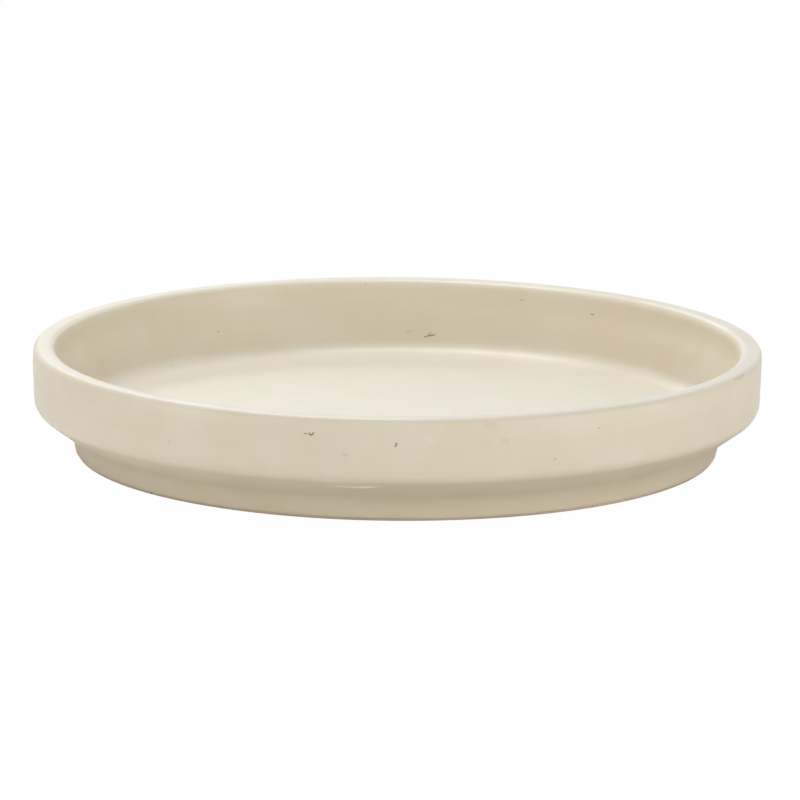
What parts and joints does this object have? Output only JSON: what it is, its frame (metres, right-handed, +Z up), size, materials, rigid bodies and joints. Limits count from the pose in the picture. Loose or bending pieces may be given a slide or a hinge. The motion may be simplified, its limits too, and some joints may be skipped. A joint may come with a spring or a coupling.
{
  "type": "plant saucer",
  "caption": "Round glazed clay saucer with a tall banded rim over a narrower foot, and a flat shallow well that a plant pot stands in and that catches its water.",
  "frame": {"origin": "centre of the foot ring, on the surface that the saucer stands on", "axes": "+Z up along the turning axis; the saucer is round, so +X and +Y are alike"},
  "size_m": [0.25, 0.25, 0.037],
  "materials": {
    "fired_clay": "dry, unglazed",
    "cream_glaze": "satin glaze with a few dark specks"
  },
  "bodies": {
    "root": {"clay_body": "fired_clay", "glaze_coat": "cream_glaze"}
  },
  "joints": []
}
